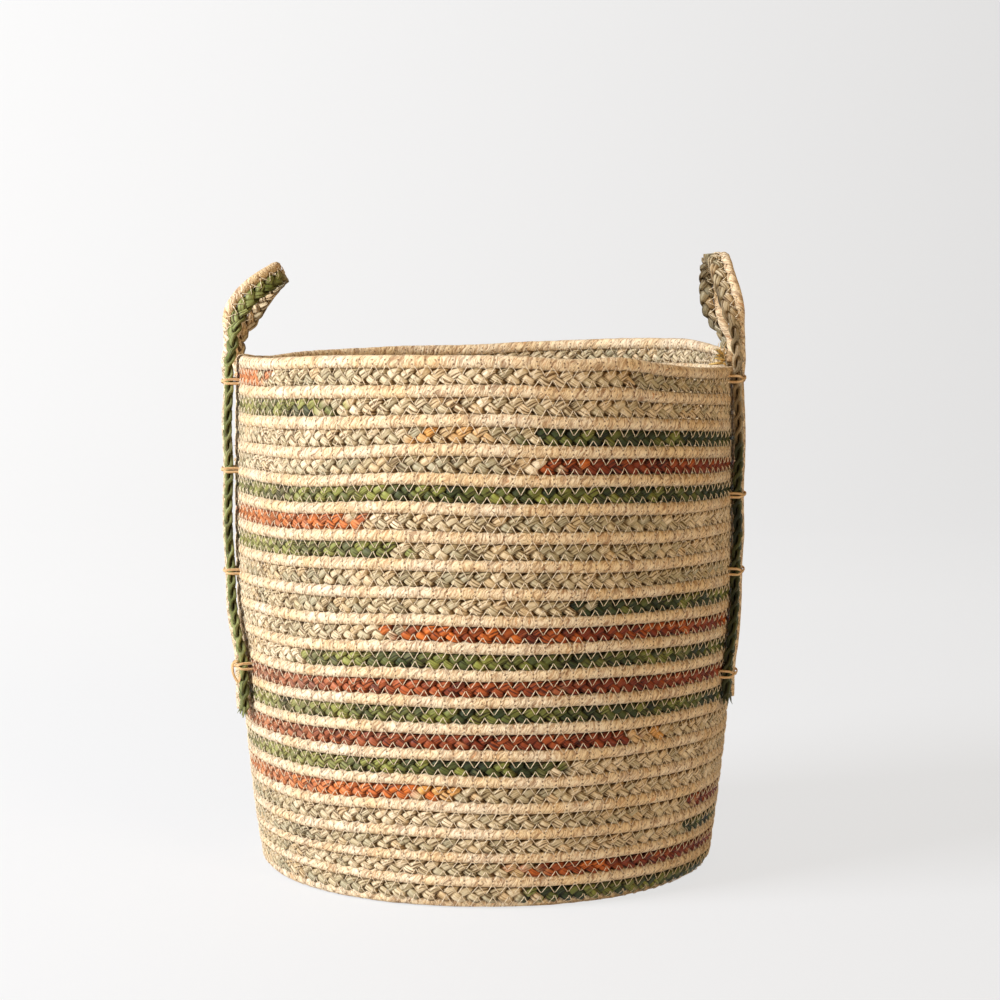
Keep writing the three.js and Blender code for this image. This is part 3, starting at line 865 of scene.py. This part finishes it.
for side, handle in handles.items():
    frames = strap_frames(side)
    length = frames[0][-1]
    thread_ends = (0.004, length - 0.004)
    strands = [
        plait_strand(
            f"{side}_strap_strand_{k + 1}",
            k,
            0,
            length,
            strap_braid_width * 1.10,
            strap_braid_thickness,
            on_strap(frames, braid_offset),
            strap_colours(side, length),
            handle["edge_painted_light"],
        )
        for k in range(3)
    ]
    strap_plait = join(f"{side}_strap_plait", strands)
    strap_plait.data.materials.append(plaited)
    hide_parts(f"{side}_loop_braid", f"{side}_front_leg_braid", f"{side}_rear_leg_braid")
    strap_cord = wrapped_cord(
        f"{side}_strap_cord",
        0,
        length,
        strap_cord_width * 1.02,
        strap_cord_thickness,
        on_strap(frames, cord_offset),
    )
    strap_cord.data.materials.append(husk_cord(f"{side}_strap_husk_cord", [(*thread_ends, 0.197)]))
    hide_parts(f"{side}_loop_cord", f"{side}_front_leg_cord", f"{side}_rear_leg_cord")
    seam = on_strap(frames, braid_offset + (strap_braid_width + row_gap) / 2)
    faces = (strap_plait_face, strap_cord_face)
    threads = [
        zigzag(f"{side}_strap_thread_{name}", *thread_ends, seam, 1, face, *faces, 4)
        for name, face in (("out", 1), ("in", -1))
    ]
    strap_thread = join(f"{side}_strap_thread", threads)
    strap_thread.data.materials.append(cotton_thread)
    for piece in (strap_plait, strap_cord, strap_thread):
        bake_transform(piece)

# The ties. At four heights a husk strand goes through the wall between two rows and round each leg of
# a strap, which it holds flat against the wall.
tie_width = 0.0021
tie_thickness = 0.0010
tie_wraps = 2
tie_points = 40  # along each wrap
tie_corner = 0.32  # below 1 a wrap is squarer than an ellipse
tie_room = 0.0020  # how much deeper a tie is than strap and wall together
in_wall_flatness = 0.6  # of the tie's width left where it lies between two rows


def husk_tie():
    finish, shader, start = new_finish("twisted_tie_husk")
    along, around = along_and_around(start)
    rib_place = start.node("ShaderNodeCombineXYZ", {}, {0: along * 60, 1: around * 14})
    ribs = start.node("ShaderNodeTexNoise", {}, {"Vector": rib_place, "Scale": 1.0, "Detail": 3.0})
    base = ribs.node(
        "ShaderNodeValToRGB",
        {
            "stops": [
                (0.3, linear(184, 136, 86)),
                (0.5, linear(228, 188, 134)),
                (0.72, linear(244, 218, 172)),
            ]
        },
        {0: ribs},
    )
    return finished(finish, shader, base, 0.9 - ribs * 0.3, ribs, 0.0005)


tie_husk = husk_tie()


def tied_round(side, end_name, k):
    """Husk that goes twice round a leg and through the wall, and crosses itself over the strap."""
    handle = handles[side]
    node = f"{side}_{end_name}_tie_{k + 1}"
    low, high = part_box(node)
    height = (low[2] + high[2]) / 2
    wall = outside_radius(height)
    angle = handle["angle"] + leg_angle(side, end_name, height)
    loosened = handle["slack"]["front"] if end_name == "front" else 0
    chance = np.random.default_rng(100 + 10 * k + len(node))
    tube, along, around = straight_tube(f"{node}_husk", 1, tie_points * tie_wraps, 6)
    spin = full_turn * along * tie_wraps + math.pi
    cos, sin = np.cos(spin), np.sin(spin)
    first_wrap = along < 0.5
    reach_out = (2 * strap_half + tie_room + cord_thickness + loosened) / 2
    reach_across = strap_width / 2 + strap_seat
    x = reach_out * np.sign(cos) * np.abs(cos) ** tie_corner
    y = reach_across * np.sign(sin) * np.abs(sin) ** tie_corner
    x += wall + (2 * strap_half + 0.0006 - cord_thickness + loosened) / 2
    x += 0.0006 * first_wrap * cos
    in_wall = (x < wall - 0.001) & (x > wall - cord_thickness)
    slant = chance.uniform(0.0014, 0.0024) * np.where(first_wrap, 1, -1) * np.where(in_wall, 0.3, 1)
    z = height + slant * sin
    x += tie_thickness / 2 * np.sin(around) * cos
    y += tie_thickness / 2 * np.sin(around) * sin
    z += tie_width / 2 * np.cos(around) * np.where(in_wall, in_wall_flatness, 1)
    to_x, to_y = math.cos(angle), math.sin(angle)
    tie = roll_up(tube, np.stack([x * to_x - y * to_y, x * to_y + y * to_x, z], axis=-1), 0, 0.12)
    tie.data.materials.append(tie_husk)
    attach(tie, "root")
    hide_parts(node)


for side, handle in handles.items():
    for end_name in handle["legs"]:
        for k in range(4):
            tied_round(side, end_name, k)

# Loose husk. Where a plait is cut, at the straps' ends and at the rim's end, its leaves come apart in
# slivers, and single fibres stand off the straps and the rows. The lowest tie in front on the left
# ends in a loose loop.


def sliver(name, start, way, side, length, width, curl, tone):
    """A thin blade of husk that starts at a point and curls away from its own line."""
    way = np.array(way) / np.linalg.norm(way)
    side = np.array(side) - np.dot(side, way) * way
    side /= np.linalg.norm(side)
    lift = np.cross(way, side)
    tube, along, around = straight_tube(name, length, 7, 4)
    share = along / length
    half = width / 2 * (1 - 0.75 * share**2)
    centre = np.array(start) + way * along[:, None] + lift * (curl * length * share**2)[:, None]
    points = centre + side * (half * np.cos(around))[:, None]
    points += lift * (0.3 * half * np.sin(around))[:, None]
    dye(tube, np.tile(tone, (len(along), 1)) * (0.8 + 0.4 * share)[:, None])
    return roll_up(tube, points, 0, length)


def loose(name, slivers):
    piece = join(name, slivers)
    piece.data.materials.append(plaited)
    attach(piece, "root")


slivers_at_end = 12
for side, handle in handles.items():
    frames = strap_frames(side)
    length = frames[0][-1]
    first_leg = min(handle["legs"], key=lambda name: leg_sign(handle, name))
    for end_name in handle["legs"]:
        here, inner = (0, 3) if end_name == first_leg else (-1, -4)
        down = frames[1][here] - frames[1][inner]
        down /= np.linalg.norm(down)
        across, out = frames[2][here], frames[3][here]
        chance = np.random.default_rng(300 + len(side + end_name))
        tones = strap_colours(side, length)(np.full(slivers_at_end, 0.0 if here == 0 else length), 0)
        slivers = []
        for k in range(slivers_at_end):
            spread = chance.uniform(-1, 1)
            start = frames[1][here] + across * (braid_offset + 0.42 * strap_braid_width * spread)
            start = start + out * strap_braid_thickness * chance.uniform(-0.3, 0.3) - down * 0.003
            way = down + across * 0.45 * spread + out * chance.uniform(-0.05, 0.35)
            slivers.append(
                sliver(
                    f"{side}_{end_name}_sliver_{k}",
                    start,
                    way,
                    across + out * chance.uniform(-0.6, 0.6),
                    chance.uniform(0.005, 0.009),
                    chance.uniform(0.0022, 0.0042),
                    chance.uniform(-0.2, 0.3),
                    tones[k] * chance.uniform(0.9, 1.6),
                )
            )
        loose(f"{side}_{end_name}_strap_fray", slivers)

chance = np.random.default_rng(400)
inner_face = -cord_thickness / 2 + 0.0008
fresh_husk = linear(255, 214, 130)
pale_husk = linear(255, 244, 214)
slivers = []
for k in range(34):
    turns = chance.uniform(0.001, 0.03)
    top = cord_row(turns)[1] - chance.uniform(0.0005, 0.008)
    start = on_basket(np.array([turns * full_turn]), np.array([top]), np.array([inner_face]))[0]
    way = (-chance.uniform(0.1, 0.6), -chance.uniform(0.2, 1.0), chance.uniform(-0.1, 0.8))
    # Painted light: the rim's slivers are painted 1.25 times as bright as fresh husk, above any real husk,
    # so that they stay bright in the rim's shade.
    painted_bright_husk = 1.25 * (fresh_husk if chance.uniform() < 0.6 else pale_husk)
    length = chance.uniform(0.006, 0.012)
    width, curl = chance.uniform(0.0018, 0.0034), chance.uniform(-0.5, 0.5)
    slivers.append(sliver(f"rim_sliver_{k}", start, way, (0, 0.3, 1), length, width, curl, painted_bright_husk))
loose("rim_end_fray", slivers)

slivers = []
for k in range(60):
    angle = chance.uniform(0, full_turn)
    height = chance.uniform(0.03, basket_height - 0.01)
    radius = outside_radius(height) - 0.0012
    start = (radius * math.cos(angle), radius * math.sin(angle), height)
    out = np.array((math.cos(angle), math.sin(angle), 0))
    way = out * chance.uniform(0.15, 0.8) + chance.uniform(-1, 1, 3)
    tone = husk_olive if chance.uniform() < 0.6 else leaf_green
    length, curl = chance.uniform(0.003, 0.008), chance.uniform(-0.4, 0.4)
    slivers.append(sliver(f"fibre_{k}", start, way, (0, 0, 1), length, 0.0005, curl, tone))
loose("stray_fibres", slivers)

# The loose loop's bends from the tie's knot: to the right, to the rear and up.
low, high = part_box("left_front_tie_4")
knot = np.array((low[0] - 0.001, (low[1] + high[1]) / 2 - 0.006, (low[2] + high[2]) / 2))
bends = np.array(
    [
        (0.0080, 0.001, 0.001),
        (0.0045, -0.002, 0.004),
        (0.0018, -0.003, 0.002),
        (0.0018, -0.003, -0.004),
        (0.0040, -0.003, -0.010),
        (0.0068, -0.003, -0.013),
        (0.0076, -0.002, -0.007),
        (0.0080, 0.001, -0.001),
    ]
)
tube, along, around = straight_tube("left_tie_loop", 1, 48, 6)
first_bend, last_bend = 0.08, 0.92
shares = np.linspace(0, 1, 400)
bend_shares = np.linspace(first_bend, last_bend, len(bends))
rounding = np.ones(48) / 48
soft = [np.convolve(np.interp(shares, bend_shares, bends[:, k]), rounding, "same") for k in range(3)]
here = first_bend + (last_bend - first_bend) * along
centre = np.stack([np.interp(here, shares, soft[k]) for k in range(3)], axis=-1)
ring = np.stack([np.cos(around), 0.6 * np.sin(around), np.sin(around)], axis=-1)
points = knot + centre + 0.0012 * (1 - 0.3 * along)[:, None] * ring
tie_loop = roll_up(tube, points, 0, 0.05)
tie_loop.data.materials.append(tie_husk)
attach(tie_loop, "root")

# The floor and backdrop: one pale sheet that curves up behind the basket.
sweep_width = 6.0
sweep_front = -3.5
sweep_rear = 2.4  # where the floor starts to curve up
sweep_bend = 1.2  # the curve's radius
sweep_height = 2.5  # of the backdrop above the curve
bend_steps = 12
bpy.ops.object.select_all(action="DESELECT")
bpy.ops.mesh.primitive_plane_add(size=1, location=(0, 0, 0))
floor = bpy.context.object
floor.name = floor.data.name = "pale_floor"
for vertex in floor.data.vertices:
    vertex.co.x *= sweep_width
    vertex.co.y = sweep_front if vertex.co.y < 0 else sweep_rear
bpy.ops.object.mode_set(mode="EDIT")
bpy.ops.mesh.select_mode(type="EDGE")
bpy.ops.mesh.select_all(action="DESELECT")
bpy.ops.object.mode_set(mode="OBJECT")
for edge in floor.data.edges:
    edge.select = all(floor.data.vertices[v].co.y > 0 for v in edge.vertices)
bpy.ops.object.mode_set(mode="EDIT")
for k in range(bend_steps):
    last, rise = math.radians(90 * k / bend_steps), math.radians(90 * (k + 1) / bend_steps)
    back, up = math.sin(rise) - math.sin(last), math.cos(last) - math.cos(rise)
    move = (0, sweep_bend * back, sweep_bend * up)
    bpy.ops.mesh.extrude_region_move(TRANSFORM_OT_translate={"value": move})
bpy.ops.mesh.extrude_region_move(TRANSFORM_OT_translate={"value": (0, 0, sweep_height)})
bpy.ops.object.mode_set(mode="OBJECT")
bpy.ops.object.shade_smooth()
paper, paper_shader, start = new_finish("pale_paper")
paper_shader.inputs["Roughness"].default_value = 0.9
paper_shader.inputs["Emission Strength"].default_value = 1.0
rays = start.node("ShaderNodeLightPath")
glossy = Shade(start.tree, rays.socket.node.outputs["Is Glossy Ray"])
seen = (rays + glossy).maths("MINIMUM", 1.0)
place = start.node("ShaderNodeTexCoord", {}, {}, "Object")
sideways = place.node("ShaderNodeSeparateXYZ", {}, {0: place})
depth = Shade(sideways.tree, sideways.socket.node.outputs["Y"])
# The glow also carries painted light falloff: dimmer towards the right and towards the front, brighter
# towards the rear.
glow = seen * (0.70 - sideways * 0.09 + depth.clipped(-0.6, 1.6) * 0.07)
grey = start.node("ShaderNodeCombineColor", {}, {0: glow, 1: glow, 2: glow})
body = start.node("ShaderNodeRGB")
body.socket.default_value = colour((0.74, 0.74, 0.75))
body = body.mixed(colour((0.15, 0.15, 0.15)), seen)
paper.node_tree.links.new(body.socket, paper_shader.inputs["Base Color"])
paper.node_tree.links.new(grey.socket, paper_shader.inputs["Emission Color"])
floor.data.materials.append(paper)

# The light: a broad soft lamp high on the left and in front, a weak one on the right, and a pale room.
world = bpy.data.worlds.new("pale_room")
bpy.context.scene.world = world
world.use_nodes = True
room = world.node_tree.nodes["Background"]
looked_at = Shade(world.node_tree, None).node("ShaderNodeLightPath")
tint = looked_at.node("ShaderNodeRGB")
tint.socket.default_value = colour(linear(255, 220, 176) * 0.16)
tint = tint.mixed(colour((0.80, 0.80, 0.80)), looked_at)
world.node_tree.links.new(tint.socket, room.inputs["Color"])
room.inputs["Strength"].default_value = 1.0
lit_height = 0.2


def soft_lamp(name, place, size, power, tint):
    """A square lamp that points at the middle of the basket's height."""
    data = bpy.data.lights.new(name, "AREA")
    data.color = tint
    data.size = size
    data.energy = power
    lamp = bpy.data.objects.new(name, data)
    bpy.context.collection.objects.link(lamp)
    lamp.location = place
    way = np.array((0, 0, lit_height)) - np.array(place)
    tip = math.acos(-way[2] / np.linalg.norm(way))
    lamp.rotation_euler = (tip, 0, math.atan2(way[1], way[0]) - math.pi / 2)


soft_lamp("window_left", (-2.4, -1.3, 1.7), 1.5, 156, (0.88, 0.92, 1.0))
soft_lamp("bounce_right", (1.6, -2.6, 1.5), 1.0, 30, (1.0, 0.76, 0.48))

# The camera stands two metres away, a little above the rim, and looks slightly down.
camera_data = bpy.data.cameras.new("camera")
camera_data.lens = 91.4
camera_data.sensor_width = 36
camera = bpy.data.objects.new("camera", camera_data)
bpy.context.collection.objects.link(camera)
camera.location = (0.0109, -1.970, 0.454)
camera.rotation_euler = (math.radians(90 - 5.014), 0, 0)
bpy.context.scene.camera = camera
bpy.context.scene.view_settings.view_transform = "Standard"
